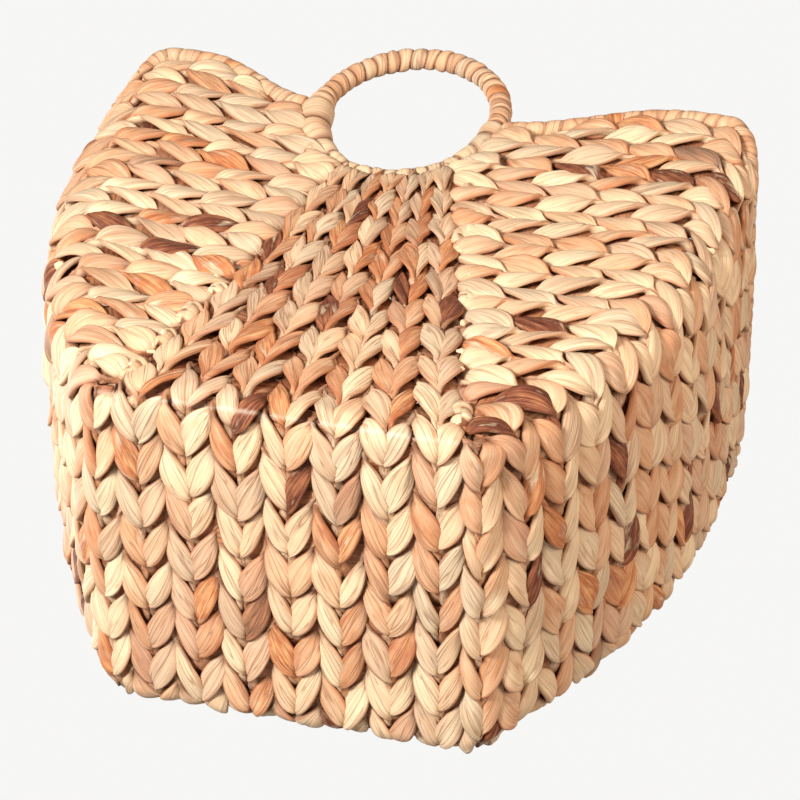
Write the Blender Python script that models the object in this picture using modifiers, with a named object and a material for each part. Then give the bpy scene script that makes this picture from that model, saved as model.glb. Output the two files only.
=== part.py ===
"""Plaited laundry basket with two arch handles, on a bent wire frame.

Metres, +Z up. The basket stands on z = 0 with its origin at the middle of the underside. The front wall
faces -Y and the side walls face -X and +X. Each braid, wire and binding is one object.
"""

import bmesh
import bpy
import numpy as np

# Body
HALF_DEPTH = 0.123
FLARE = 0.0987
BELLY = 0.0395
LOW_FULLNESS = 0.0026
EAR_FLARE = 0.0116
EAR_FLARE_START_SHARE = 0.8
SIDE_BOW = 0.0031
CORNER_RADIUS = 0.029
CORNER_FOOT_RADIUS = 0.0095
CORNER_GROWTH_HEIGHT = 0.03

# Rim
HANDLE_RIM_HEIGHT = 0.3577
EAR_RISE = 0.0388
SIDE_RIM_DROP = 0.0207
EAR_STATION = 0.79
EAR_FALL_STATIONS = 1.5

# Braids
BRAID_THICKNESS = 0.012
BRAID_EDGE = 0.0062
BRAID_EDGE_MOST_SHARE = 0.3
BRAID_GROOVE = 0.003
CENTRE_BRAIDS = 7
SIDE_COURSES = 12
EDGE_BRAID_HEIGHT = 0.0153
EDGE_BRAID_CORNER = 0.004
EDGE_BRAID_FLOOR = 0.0118
BOTTOM_BEND = 0.014
TOP_COURSE_FULL_SHARE = 0.70

# Fan of centre braids on the front and back walls
FAN_BASE_HALF_WIDTH = 0.1085
FAN_TOP_HALF_WIDTH = 0.0359
FAN_TOP_RISE = 0.008
FAN_DRAW_IN = 0.0025
FAN_BASE_OFFSET = 0.002
FAN_TOP_OFFSET = -0.0065
FAN_SWAY = 0.0032

# Handles
RING_OFFSET = -0.0181
RING_CENTRE_RISE = 0.0031
RING_HALF_WIDTH = 0.0613
RING_HALF_HEIGHT = 0.0789
RING_WIRE_RADIUS = 0.003
HANDLE_RADIUS = 0.0067
WRAP_FOOT_SHARE = 0.5
WRAP_TURNS = 24
WRAP_TURN_GAP = 0.0007
WRAP_POINTS_A_TURN = 8

# Frame wires and rim binding
FRAME_WIRE_RADIUS = 0.002
BINDING_RADIUS = 0.0047
FRAME_CORNER_RADIUS = 0.012

CLEARANCE = 0.0003
STEP = 0.0002

# Stations on a side: 0 fan edge, 1 corner begins, 2 corner ends, 3 middle of the side wall, then mirrored to 6.
TOP_COURSE_START = 0.25
CORNER_MIDDLE = 1.5
SIDE_MIDDLE = 3.0
HALF_STATIONS = (0.0, TOP_COURSE_START, 0.5, 0.75, 1.0, 1.25, CORNER_MIDDLE, 1.75, 2.0, 2.5)

LEAF_TONES = (
    (0.66, 0.42, 0.24),
    (0.74, 0.52, 0.32),
    (0.60, 0.36, 0.20),
    (0.70, 0.47, 0.27),
    (0.63, 0.41, 0.26),
)
BINDING_TONE = (0.68, 0.43, 0.25)
STEEL_TONE = (0.35, 0.35, 0.36)

base_half_width = FAN_BASE_HALF_WIDTH + EDGE_BRAID_FLOOR
ear_height = HANDLE_RIM_HEIGHT + EAR_RISE
side_rim_height = HANDLE_RIM_HEIGHT - SIDE_RIM_DROP
ring_centre_height = HANDLE_RIM_HEIGHT + RING_CENTRE_RISE
fan_top_height = ring_centre_height - RING_HALF_HEIGHT + FAN_TOP_RISE
frame_depth = BRAID_THICKNESS + CLEARANCE + FRAME_WIRE_RADIUS
ring_depth = frame_depth - FRAME_WIRE_RADIUS - CLEARANCE - RING_WIRE_RADIUS
bottom_wire_height = frame_depth
# A braid's straight-cut end stands off the round ring by the ring's rise over one braid's width.
ring_rise = (side_rim_height / SIDE_COURSES) ** 2 / (8 * RING_HALF_WIDTH)
ring_margin = RING_WIRE_RADIUS + CLEARANCE + ring_rise


def smooth(share):
    """Ease from 0 to 1."""
    share = np.clip(share, 0.0, 1.0)
    return share * share * (3 - 2 * share)


# The shell: outer faces of the braids


def half_width(height):
    """Half the basket's width at its corners."""
    share = height / HANDLE_RIM_HEIGHT
    belly = 4 * BELLY * share * (1 - share)
    # The cubic peaks at 1 / (12 * sqrt(3)).
    low = 12 * np.sqrt(3) * LOW_FULLNESS * share * (1 - share) * (0.5 - share)
    past = max(0.0, share - EAR_FLARE_START_SHARE)
    ear = EAR_FLARE * (past / (ear_height / HANDLE_RIM_HEIGHT - EAR_FLARE_START_SHARE)) ** 2
    return base_half_width + FLARE * share + belly + low + ear


def corner_radius(height):
    """Radius of the folded corners, which are sharper at the foot."""
    growth = min(1.0, height / CORNER_GROWTH_HEIGHT)
    return CORNER_FOOT_RADIUS + (CORNER_RADIUS - CORNER_FOOT_RADIUS) * growth


def fan_middle(height):
    """Place across the width of the fan's middle line."""
    share = height / fan_top_height
    line = FAN_BASE_OFFSET + (FAN_TOP_OFFSET - FAN_BASE_OFFSET) * share
    return line + 4 * FAN_SWAY * share * (1 - share)


def fan_half_width(height):
    """Half width of the fan of centre braids."""
    share = height / fan_top_height
    line = FAN_BASE_HALF_WIDTH + (FAN_TOP_HALF_WIDTH - FAN_BASE_HALF_WIDTH) * share
    return line - 4 * FAN_DRAW_IN * share * (1 - share)


def ring_half_width(height, margin):
    """Half width of the handle ring grown by a margin, at a height."""
    rise = (height - ring_centre_height) / (RING_HALF_HEIGHT + margin)
    return (RING_HALF_WIDTH + margin) * np.sqrt(max(0.0, 1 - rise * rise))


def lobe_start(height, side):
    """Distance from the middle plane to where the side courses begin."""
    fan = side * fan_middle(height) + fan_half_width(height) + CLEARANCE / 2
    ring = side * RING_OFFSET + ring_half_width(height, ring_margin)
    return max(fan, ring)


def plan_point(station, height, side):
    """Point of the outer shell. Stations run round one side from the front fan to the back fan."""
    if station > SIDE_MIDDLE:
        x, y = plan_point(2 * SIDE_MIDDLE - station, height, side)
        return x, -y
    radius = corner_radius(height)
    corner_x = half_width(height) - radius
    corner_centre_y = HALF_DEPTH - radius
    side_arc = 2 * np.arctan(SIDE_BOW / corner_centre_y)
    if station <= 1:
        start = lobe_start(height, side)
        return start + station * (corner_x - start), -HALF_DEPTH
    if station <= 2:
        angle = -np.pi / 2 + (station - 1) * (np.pi / 2 - side_arc)
        return corner_x + radius * np.cos(angle), -corner_centre_y + radius * np.sin(angle)
    angle = -side_arc * (SIDE_MIDDLE - station)
    side_radius = radius + corner_centre_y / np.sin(side_arc)
    centre = half_width(height) + SIDE_BOW - side_radius
    return centre + side_radius * np.cos(angle), side_radius * np.sin(angle)


def shell_point(station, height, side, depth=0.0):
    """Point at a depth under the outer shell, with side -1 for the left and 1 for the right."""

    def outer(at_station, at_height):
        x, y = plan_point(at_station, at_height, side)
        return np.array((x, y, at_height))

    share = STEP / HALF_DEPTH
    along = outer(station + share, height) - outer(station - share, height)
    if station < share or station > 2 * SIDE_MIDDLE - share:
        along = np.array((1.0 if station < share else -1.0, 0.0, 0.0))
    up = outer(station, height + STEP) - outer(station, height - STEP)
    normal = np.cross(along, up)
    point = outer(station, height) - depth * normal / np.linalg.norm(normal)
    return np.array((side * point[0], point[1], point[2]))


def rim_height(station):
    """Height of the rim's top at a station."""
    station = min(station, 2 * SIDE_MIDDLE - station)
    if station <= EAR_STATION:
        return HANDLE_RIM_HEIGHT + EAR_RISE * smooth(station / EAR_STATION)
    return ear_height - (EAR_RISE + SIDE_RIM_DROP) * smooth((station - EAR_STATION) / EAR_FALL_STATIONS)


def rim_line(station, side, depth):
    """Point on the middle line of the rim binding."""
    return shell_point(station, rim_height(station) - BINDING_RADIUS, side, depth)


def course_edge(course, station):
    """Height of the top edge of a course. Course 0 is the edge braid and the last one meets the binding."""
    near = min(station, 2 * SIDE_MIDDLE - station)
    share = STEP / HALF_DEPTH
    along = rim_line(near + share, 1, ring_depth) - rim_line(near, 1, ring_depth)
    slant = np.linalg.norm(along) / np.linalg.norm(along[:2])
    top = rim_height(station) - BINDING_RADIUS - (BINDING_RADIUS + 2 * CLEARANCE) * slant
    full = SIDE_COURSES - 1 + smooth(near / TOP_COURSE_FULL_SHARE)
    if course == SIDE_COURSES:
        return top
    return EDGE_BRAID_HEIGHT + course * (top - EDGE_BRAID_HEIGHT) / full


# Objects


def start_scene():
    """Clear the scene and open the basket's collection."""
    for obj in list(bpy.data.objects):
        bpy.data.objects.remove(obj)
    collection = bpy.data.collections.new("laundry_basket")
    bpy.context.scene.collection.children.link(collection)
    return collection


def material(name, colour, roughness, metallic=0.0):
    """Principled material of one piece."""
    made = bpy.data.materials.new(name)
    made.use_nodes = True
    shader = made.node_tree.nodes["Principled BSDF"]
    shader.inputs["Base Color"].default_value = (*colour, 1.0)
    shader.inputs["Roughness"].default_value = roughness
    shader.inputs["Metallic"].default_value = metallic
    made.diffuse_color = (*colour, 1.0)
    return made


def leaf(name, index):
    """Dry leaf, in one of a few tones by the piece's place."""
    return material(name + "_leaf", LEAF_TONES[index % len(LEAF_TONES)], 0.62)


def steel(name):
    """Dark frame wire."""
    return material(name + "_steel", STEEL_TONE, 0.45, 1.0)


def add_object(name, data, surface):
    """Put a mesh or a curve in the basket's collection."""
    obj = bpy.data.objects.new(name, data)
    data.materials.append(surface)
    basket.objects.link(obj)
    return obj


def loft(name, sections, surface):
    """Skin a row of closed sections, which change along the piece, into one capped solid."""
    bm = bmesh.new()
    rows = [[bm.verts.new(point) for point in section] for section in sections]
    for first, second in zip(rows, rows[1:]):
        for i in range(len(first)):
            bm.faces.new((first[i - 1], first[i], second[i], second[i - 1]))
    for row in (rows[0], rows[-1]):
        bmesh.ops.triangle_fill(
            bm, edges=[bm.edges.get((row[i - 1], row[i])) for i in range(len(row))]
        )
    bmesh.ops.recalc_face_normals(bm, faces=bm.faces)
    mesh = bpy.data.meshes.new(name)
    bm.to_mesh(mesh)
    bm.free()
    mesh.shade_smooth()
    mesh.set_sharp_from_angle(angle=np.radians(35))
    return add_object(name, mesh, surface)


def tube(name, points, radius, surface, closed=False, capped=True):
    """Round wire through the points."""
    curve = bpy.data.curves.new(name, "CURVE")
    curve.dimensions = "3D"
    curve.bevel_depth = radius
    curve.bevel_resolution = 2
    curve.use_fill_caps = capped and not closed
    spline = curve.splines.new("POLY")
    spline.points.add(len(points) - 1)
    for target, point in zip(spline.points, points):
        target.co = (*point, 1.0)
        target.radius = 1.0
    spline.use_cyclic_u = closed
    spline.use_smooth = True
    return add_object(name, curve, surface)


# Braids


def edge_limit(width):
    """How far the rounded edge of a braid reaches in."""
    return min(BRAID_EDGE, BRAID_EDGE_MOST_SHARE * width)


def course_span(course, station):
    """Lower and upper edge of a side course, and how far its rounded edges reach in."""
    low = course_edge(course - 1, station) + CLEARANCE / 2
    high = course_edge(course, station) - CLEARANCE / 2
    return low, high, edge_limit(high - low)


def course_section(course, station, side):
    """Section of a side course: two ropes side by side, with a groove between them outside and inside."""
    low, high, edge = course_span(course, station)
    middle = (low + high) / 2
    outline = (
        (low, BRAID_THICKNESS / 2),
        (low + edge, 0.0),
        (middle, BRAID_GROOVE),
        (high - edge, 0.0),
        (high, BRAID_THICKNESS / 2),
        (high - edge, BRAID_THICKNESS),
        (middle, BRAID_THICKNESS - BRAID_GROOVE),
        (low + edge, BRAID_THICKNESS),
    )
    return [shell_point(station, height, side, depth) for height, depth in outline]


def side_stations(start):
    """Stations of a piece from the front to the back, beginning at this one."""
    half = [start] + [station for station in HALF_STATIONS if station > start]
    return half + [SIDE_MIDDLE] + [2 * SIDE_MIDDLE - station for station in reversed(half)]


def make_side_courses(side, label):
    """The braids that go round one side wall, bottom to top."""
    for course in range(1, SIDE_COURSES + 1):
        name = f"{label}_course_{course:02d}"
        start = TOP_COURSE_START if course == SIDE_COURSES else 0.0
        sections = [course_section(course, station, side) for station in side_stations(start)]
        loft(name, sections, leaf(name, course + CENTRE_BRAIDS * (side > 0)))


def make_edge_braid(side, label):
    """The straight braid along one side edge of the underside."""
    inner_x = side * fan_middle(0) + FAN_BASE_HALF_WIDTH + CLEARANCE / 2
    wall_height = EDGE_BRAID_HEIGHT - BRAID_EDGE
    top = EDGE_BRAID_HEIGHT - CLEARANCE / 2
    sections = []
    for station in side_stations(CORNER_MIDDLE):
        wall = [
            shell_point(station, wall_height, side),
            shell_point(station, top, side, BRAID_THICKNESS / 2),
            shell_point(station, wall_height, side, BRAID_THICKNESS),
        ]
        y = wall[0][1]
        if station in (CORNER_MIDDLE, 2 * SIDE_MIDDLE - CORNER_MIDDLE):
            y = np.copysign(HALF_DEPTH - BOTTOM_BEND / 2, y)
        floor = [
            (side * (inner_x + BRAID_EDGE), y, BRAID_THICKNESS),
            (side * inner_x, y, BRAID_THICKNESS / 2),
            (side * (inner_x + BRAID_EDGE), y, 0.0),
            (side * (base_half_width - EDGE_BRAID_CORNER), wall[0][1], 0.0),
        ]
        sections.append(wall + floor)
    name = f"{label}_edge_braid"
    loft(name, sections, leaf(name, int(side > 0)))


def ring_foot(share, shift):
    """Top end of a centre braid's line: where the fan meets the underside of the handle ring."""
    height = fan_top_height
    for _ in range(8):
        x = fan_middle(height) + fan_half_width(height) * (2 * share - 1) + shift
        across = np.clip((x - RING_OFFSET) / (RING_HALF_WIDTH + ring_margin), -1, 1)
        height = ring_centre_height - (RING_HALF_HEIGHT + ring_margin) * np.sqrt(1 - across * across)
    return height


def centre_point(share, shift, place, depth):
    """Point of a centre braid. place is 0 at the front ring and 4 at the back ring."""
    sign = -1 if place <= 2 else 1
    near = place if place <= 2 else 4 - place
    inner = HALF_DEPTH - BOTTOM_BEND
    if near <= 1:
        height = BOTTOM_BEND + (ring_foot(share, shift) - BOTTOM_BEND) * (1 - near)
        y, z = HALF_DEPTH - depth, height
    elif near < 2:
        turn = (near - 1) * np.pi / 2
        y = inner + (BOTTOM_BEND - depth) * np.cos(turn)
        z = BOTTOM_BEND - (BOTTOM_BEND - depth) * np.sin(turn)
        height = BOTTOM_BEND * (1 - np.sin(turn))
    else:
        y, z, height = inner, depth, 0.0
    x = fan_middle(height) + fan_half_width(height) * (2 * share - 1) + shift
    return x, sign * y, z


def make_centre_braids():
    """The braids that run down the front wall, under the basket and up the back wall, flat outside."""
    half = (0.0, 0.25, 0.5, 0.75, 1.0, 1.33, 1.67)
    for index in range(CENTRE_BRAIDS):
        low, high = index / CENTRE_BRAIDS, (index + 1) / CENTRE_BRAIDS
        sections = []
        for place in half + (2.0, 2.0 + STEP) + tuple(4 - place for place in reversed(half)):
            height = BOTTOM_BEND + (fan_top_height - BOTTOM_BEND) * max(0.0, abs(place - 2) - 1)
            edge = edge_limit(2 * fan_half_width(height) / CENTRE_BRAIDS)
            outline = (
                (low, CLEARANCE / 2, BRAID_THICKNESS / 2),
                (low, edge, 0.0),
                (high, -edge, 0.0),
                (high, -CLEARANCE / 2, BRAID_THICKNESS / 2),
                (high, -edge, BRAID_THICKNESS),
                (low, edge, BRAID_THICKNESS),
            )
            sections.append([centre_point(*point[:2], place, point[2]) for point in outline])
        name = f"centre_braid_{index + 1}"
        loft(name, sections, leaf(name, 2 * index))


# Wires, binding and handles


def with_ends_moved(points, distance):
    """The path with each end drawn back along its first stretch."""
    moved = [np.array(point) for point in points]
    for end, beside in ((0, 1), (-1, -2)):
        along = moved[beside] - moved[end]
        moved[end] = moved[end] + along * distance / np.linalg.norm(along)
    return moved


def make_rim(side, label):
    """One rim wire and the leaf binding round it."""
    points = [rim_line(station, side, ring_depth) for station in side_stations(0.0)]
    tube(f"{label}_rim_wire", points, FRAME_WIRE_RADIUS, steel(f"{label}_rim_wire"))
    name = f"{label}_rim_binding"
    sleeve = tube(
        name,
        with_ends_moved(points, BINDING_RADIUS),
        BINDING_RADIUS,
        material(name + "_leaf", BINDING_TONE, 0.6),
        capped=False,
    )
    wall = sleeve.modifiers.new("leaf_wall", "SOLIDIFY")
    wall.thickness = BINDING_RADIUS - FRAME_WIRE_RADIUS - CLEARANCE
    wall.offset = -1


def ring_point(angle, sign):
    """Middle line of a handle ring, with angle 0 at its right and a quarter turn at its top."""
    return np.array((
        RING_OFFSET + RING_HALF_WIDTH * np.cos(angle),
        sign * (HALF_DEPTH - ring_depth),
        ring_centre_height + RING_HALF_HEIGHT * np.sin(angle),
    ))


def arch_angles():
    """Evenly spaced angles by length along the arch above the rim, and the length."""
    foot_height = HANDLE_RIM_HEIGHT + CLEARANCE + HANDLE_RADIUS * WRAP_FOOT_SHARE
    foot = np.arcsin((foot_height - ring_centre_height) / RING_HALF_HEIGHT)
    angles = np.linspace(foot, np.pi - foot, 400)
    points = np.array([ring_point(angle, 1) for angle in angles])
    lengths = np.concatenate(([0], np.cumsum(np.linalg.norm(np.diff(points, axis=0), axis=1))))
    return angles, lengths


def make_handle(sign, label):
    """A handle ring and the leaf strip wound round its arch, with its turns clear of each other."""
    turns = np.linspace(0, 2 * np.pi, 33)[:-1]
    ring = [ring_point(turn, sign) for turn in turns]
    tube(f"{label}_handle_ring", ring, RING_WIRE_RADIUS, steel(f"{label}_handle_ring"), closed=True)

    angles, lengths = arch_angles()
    pitch = lengths[-1] / (WRAP_TURNS + 1)
    half_strip = (pitch - WRAP_TURN_GAP) / 2
    inner = RING_WIRE_RADIUS + CLEARANCE
    middle = (inner + HANDLE_RADIUS) / 2
    edge = edge_limit(2 * half_strip) / 2
    outline = (
        (-half_strip, middle),
        (edge - half_strip, HANDLE_RADIUS),
        (half_strip - edge, HANDLE_RADIUS),
        (half_strip, middle),
        (half_strip - edge, inner),
        (edge - half_strip, inner),
    )
    sections = []
    for count in range(WRAP_TURNS * WRAP_POINTS_A_TURN + 1):
        turn = count / WRAP_POINTS_A_TURN
        about = 2 * np.pi * turn
        section = []
        for along, radius in outline:
            angle = np.interp(pitch * (turn + 0.5) + along, lengths, angles)
            centre = ring_point(angle, sign)
            out = np.array((np.cos(angle) / RING_HALF_WIDTH, 0, np.sin(angle) / RING_HALF_HEIGHT))
            out = out / np.linalg.norm(out)
            # An even-sided winding clears the round wire at the middle of each side, not only at its points.
            reach = radius if radius > inner else radius / np.cos(np.pi / WRAP_POINTS_A_TURN)
            section.append(centre + reach * (np.cos(about) * out + np.sin(about) * np.array((0, sign, 0))))
        sections.append(section)
    name = f"{label}_handle_wrap"
    loft(name, sections, material(name + "_leaf", BINDING_TONE, 0.6))
    points = np.array(sections)
    apart = np.linalg.norm(points[WRAP_POINTS_A_TURN:, 0] - points[:-WRAP_POINTS_A_TURN, 3], axis=1)
    print(f"{name}: least gap between turns {apart.min() * 1000:.2f} mm")


def make_bottom_frame():
    """Closed wire inside the edge of the underside."""
    half_x = FAN_BASE_HALF_WIDTH - abs(FAN_BASE_OFFSET) - FRAME_WIRE_RADIUS
    half_y = HALF_DEPTH - BOTTOM_BEND - FRAME_WIRE_RADIUS
    points = []
    for quarter in range(4):
        for turn in np.linspace(0, np.pi / 2, 5):
            angle = quarter * np.pi / 2 + turn
            x_sign = 1 if quarter in (0, 3) else -1
            y_sign = 1 if quarter in (0, 1) else -1
            points.append((
                x_sign * (half_x - FRAME_CORNER_RADIUS) + FRAME_CORNER_RADIUS * np.cos(angle),
                y_sign * (half_y - FRAME_CORNER_RADIUS) + FRAME_CORNER_RADIUS * np.sin(angle),
                bottom_wire_height,
            ))
    tube("bottom_frame_wire", points, FRAME_WIRE_RADIUS, steel("bottom_frame_wire"), closed=True)


def make_corner_rib(side, sign, label):
    """Wire that rises inside one folded corner to the ear."""
    station = CORNER_MIDDLE if sign < 0 else 2 * SIDE_MIDDLE - CORNER_MIDDLE
    low = bottom_wire_height + 2 * FRAME_WIRE_RADIUS + CLEARANCE
    heights = [low]
    for course in range(1, SIDE_COURSES + 1):
        below, above, edge = course_span(course, station)
        heights += [below + edge, above - edge]
    points = [shell_point(station, height, side, frame_depth) for height in heights]
    tube(f"{label}_corner_rib", points, FRAME_WIRE_RADIUS, steel(f"{label}_corner_rib"))


def make_fan_rib(side, sign, label):
    """Wire along one edge of a fan, from the bottom frame to behind the handle ring."""
    low = bottom_wire_height + 2 * FRAME_WIRE_RADIUS + CLEARANCE
    high = ring_foot((1 + side) / 2, 0.0) + ring_margin
    points = []
    for height in np.linspace(low, high, 9):
        x = fan_middle(height) + side * fan_half_width(height)
        points.append((x, sign * (HALF_DEPTH - frame_depth), height))
    tube(f"{label}_fan_rib", points, FRAME_WIRE_RADIUS, steel(f"{label}_fan_rib"))


basket = start_scene()
make_centre_braids()
make_bottom_frame()
for side, label in ((-1, "left"), (1, "right")):
    make_edge_braid(side, label)
    make_side_courses(side, label)
    make_rim(side, label)
for sign, wall in ((-1, "front"), (1, "back")):
    make_handle(sign, wall)
    for side, label in ((-1, "left"), (1, "right")):
        make_corner_rib(side, sign, f"{wall}_{label}")
        make_fan_rib(side, sign, f"{wall}_{label}")
print(f"{len(basket.objects)} pieces")
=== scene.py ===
# %% [markdown]
# # A laundry basket of twined water-hyacinth leaf
#
# The real basket is made of dried leaf that is twisted by hand into long two-strand ropes. Two ropes with
# opposite twist lie side by side and make one course, which shows a row of V shapes. Seven centre courses run
# down the front wall, under the basket and up the back wall, and twelve courses a side run round each side
# wall. A wire frame inside keeps the shape, and a leaf strip is wound round the rim and the two ring handles.
#
# The CAD model gives every course its place. This lesson makes the leaf itself: first the walls as a surface
# to bend things onto, then one strand of leaf, then the courses, the bindings and the finishes.

import bmesh
import bpy
import numpy as np
from mathutils import Matrix, Vector


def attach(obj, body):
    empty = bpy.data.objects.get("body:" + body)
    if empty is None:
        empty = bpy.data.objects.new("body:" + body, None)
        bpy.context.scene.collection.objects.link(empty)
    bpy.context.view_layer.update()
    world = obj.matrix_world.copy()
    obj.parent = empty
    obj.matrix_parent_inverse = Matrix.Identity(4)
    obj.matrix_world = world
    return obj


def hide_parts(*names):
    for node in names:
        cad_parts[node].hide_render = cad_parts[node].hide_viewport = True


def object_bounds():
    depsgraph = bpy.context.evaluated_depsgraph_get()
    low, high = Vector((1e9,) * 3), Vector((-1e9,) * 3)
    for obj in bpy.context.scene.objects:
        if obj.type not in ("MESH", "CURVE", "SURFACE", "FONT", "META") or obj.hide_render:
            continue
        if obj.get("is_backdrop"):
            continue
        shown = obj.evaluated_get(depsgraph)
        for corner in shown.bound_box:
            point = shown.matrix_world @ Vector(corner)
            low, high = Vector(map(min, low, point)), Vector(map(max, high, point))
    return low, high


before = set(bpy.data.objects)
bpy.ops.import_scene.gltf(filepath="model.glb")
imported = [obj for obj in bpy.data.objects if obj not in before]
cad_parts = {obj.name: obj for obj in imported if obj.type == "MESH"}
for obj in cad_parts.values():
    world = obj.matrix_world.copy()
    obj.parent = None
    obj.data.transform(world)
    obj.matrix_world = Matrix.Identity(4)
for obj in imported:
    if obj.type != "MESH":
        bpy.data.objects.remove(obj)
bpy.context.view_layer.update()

# %% [markdown]
# ## Sizes of the basket
#
# The leaf has to lie on the same walls as the CAD courses, so the script repeats the sizes that shape them.
# They could be read off the CAD mesh instead, but a formula gives a point for any place on a wall, and a
# strand needs hundreds of them.

# %% Sizes shared with the CAD model, in metres
HALF_DEPTH = 0.123
FLARE, BELLY, LOW_FULLNESS = 0.0987, 0.0395, 0.0026
EAR_FLARE, EAR_FLARE_START = 0.0116, 0.8
SIDE_BOW = 0.0031
CORNER_RADIUS, CORNER_FOOT_RADIUS, CORNER_GROWTH_HEIGHT = 0.029, 0.0095, 0.03
HANDLE_RIM_HEIGHT, EAR_RISE, SIDE_RIM_DROP = 0.3577, 0.0388, 0.0207
EAR_STATION, EAR_FALL_STATIONS = 0.79, 1.5
COURSE_THICKNESS = 0.012
CENTRE_COURSES, SIDE_COURSES = 7, 12
EDGE_COURSE_HEIGHT, EDGE_COURSE_FLOOR = 0.0153, 0.0118
BOTTOM_BEND = 0.014
FAN_BASE_HALF_WIDTH, FAN_TOP_HALF_WIDTH, FAN_TOP_RISE = 0.1085, 0.0359, 0.008
FAN_DRAW_IN, FAN_SWAY = 0.0025, 0.0032
FAN_BASE_OFFSET, FAN_TOP_OFFSET = 0.002, -0.0065
RING_OFFSET, RING_CENTRE_RISE = -0.0181, 0.0031
RING_HALF_WIDTH, RING_HALF_HEIGHT, RING_WIRE_RADIUS = 0.0613, 0.0789, 0.003
WRAP_TURNS = 24
BINDING_RADIUS = 0.0047
CLEARANCE = 0.0003
TOP_COURSE_START, TOP_COURSE_FULL = 0.25, 0.70

base_half_width = FAN_BASE_HALF_WIDTH + EDGE_COURSE_FLOOR
ear_height = HANDLE_RIM_HEIGHT + EAR_RISE
side_rim_height = HANDLE_RIM_HEIGHT - SIDE_RIM_DROP
ring_centre_height = HANDLE_RIM_HEIGHT + RING_CENTRE_RISE
fan_top_height = ring_centre_height - RING_HALF_HEIGHT + FAN_TOP_RISE
ring_depth = COURSE_THICKNESS - RING_WIRE_RADIUS
ring_margin = RING_WIRE_RADIUS + CLEARANCE + (side_rim_height / SIDE_COURSES) ** 2 / (8 * RING_HALF_WIDTH)
print(f"ears at {ear_height:.4f} m, side rim at {side_rim_height:.4f} m, fan top at {fan_top_height:.4f} m")

# %% [markdown]
# ## The walls as a surface
#
# A station is a place round one side of the basket: 0 at the front fan's edge, 1 where the corner begins,
# 2 where it ends, 3 in the middle of the side wall, and the same again backwards to 6 at the back fan. These
# functions take whole arrays, so one call places every point of a strand.

# %% Walls
CORNER_BEGINS, CORNER_ENDS, SIDE_MIDDLE, BACK_FAN = 1, 2, 3, 6


def ease(share):
    """From 0 to 1 with a soft start and end."""
    share = np.clip(share, 0.0, 1.0)
    return share * share * (3 - 2 * share)


def half_width(height):
    """Half the basket's width at its corners."""
    share = height / HANDLE_RIM_HEIGHT
    belly = 4 * BELLY * share * (1 - share)
    low = 12 * np.sqrt(3) * LOW_FULLNESS * share * (1 - share) * (0.5 - share)
    past = np.maximum(0.0, share - EAR_FLARE_START)
    ear = EAR_FLARE * (past / (ear_height / HANDLE_RIM_HEIGHT - EAR_FLARE_START)) ** 2
    return base_half_width + FLARE * share + belly + low + ear


def corner_radius(height):
    """Radius of the folded corners, which are sharper at the foot."""
    growth = np.clip(height / CORNER_GROWTH_HEIGHT, 0.0, 1.0)
    return CORNER_FOOT_RADIUS + (CORNER_RADIUS - CORNER_FOOT_RADIUS) * growth


def fan_middle(height):
    """Place across the width of the fan's middle line."""
    share = height / fan_top_height
    line = FAN_BASE_OFFSET + (FAN_TOP_OFFSET - FAN_BASE_OFFSET) * share
    return line + 4 * FAN_SWAY * share * (1 - share)


def fan_half_width(height):
    """Half width of the fan of centre courses."""
    share = height / fan_top_height
    line = FAN_BASE_HALF_WIDTH + (FAN_TOP_HALF_WIDTH - FAN_BASE_HALF_WIDTH) * share
    return line - 4 * FAN_DRAW_IN * share * (1 - share)


def wall_start(height, side):
    """Distance from the middle plane to where the side courses begin."""
    fan = side * fan_middle(height) + fan_half_width(height)
    rise = np.clip((height - ring_centre_height) / (RING_HALF_HEIGHT + ring_margin), -1, 1)
    ring = side * RING_OFFSET + (RING_HALF_WIDTH + ring_margin) * np.sqrt(1 - rise * rise)
    return np.maximum(fan, ring)


def wall_plan(station, height, side):
    """Outer face of a side wall as x, y, z arrays, with side -1 for the left and 1 for the right."""
    near = np.where(station > SIDE_MIDDLE, BACK_FAN - station, station)
    radius = corner_radius(height)
    corner_x, corner_y = half_width(height) - radius, HALF_DEPTH - radius
    arc = 2 * np.arctan(SIDE_BOW / corner_y)
    side_radius = radius + corner_y / np.sin(arc)
    start = wall_start(height, side)
    corner = -np.pi / 2 + (near - CORNER_BEGINS) * (np.pi / 2 - arc)
    bow = -arc * (SIDE_MIDDLE - near)
    x = np.select(
        [near <= CORNER_BEGINS, near <= CORNER_ENDS],
        [start + near * (corner_x - start), corner_x + radius * np.cos(corner)],
        half_width(height) + SIDE_BOW - side_radius + side_radius * np.cos(bow),
    )
    y = np.select(
        [near <= CORNER_BEGINS, near <= CORNER_ENDS],
        [-HALF_DEPTH + 0 * near, -corner_y + radius * np.sin(corner)],
        side_radius * np.sin(bow),
    )
    return np.stack([side * x, np.where(station > SIDE_MIDDLE, -y, y), height + 0 * station], axis=-1)


print(f"half width at the foot {half_width(0.0):.4f} m, at the ears {half_width(ear_height):.4f} m")

# %% [markdown]
# ## The rim line and the edges of the courses
#
# Towards an ear the courses rise with the rim, so every course takes an equal share of the height between the
# edge course and the rim. Only the top course is left out beside the handle, and comes in as the rim rises.


# %% Rim line and course edges
def rim_height(station):
    """Height of the rim's top at a station."""
    near = np.minimum(station, BACK_FAN - station)
    rise = HANDLE_RIM_HEIGHT + EAR_RISE * ease(near / EAR_STATION)
    fall = ear_height - (EAR_RISE + SIDE_RIM_DROP) * ease((near - EAR_STATION) / EAR_FALL_STATIONS)
    return np.where(near <= EAR_STATION, rise, fall)


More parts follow.
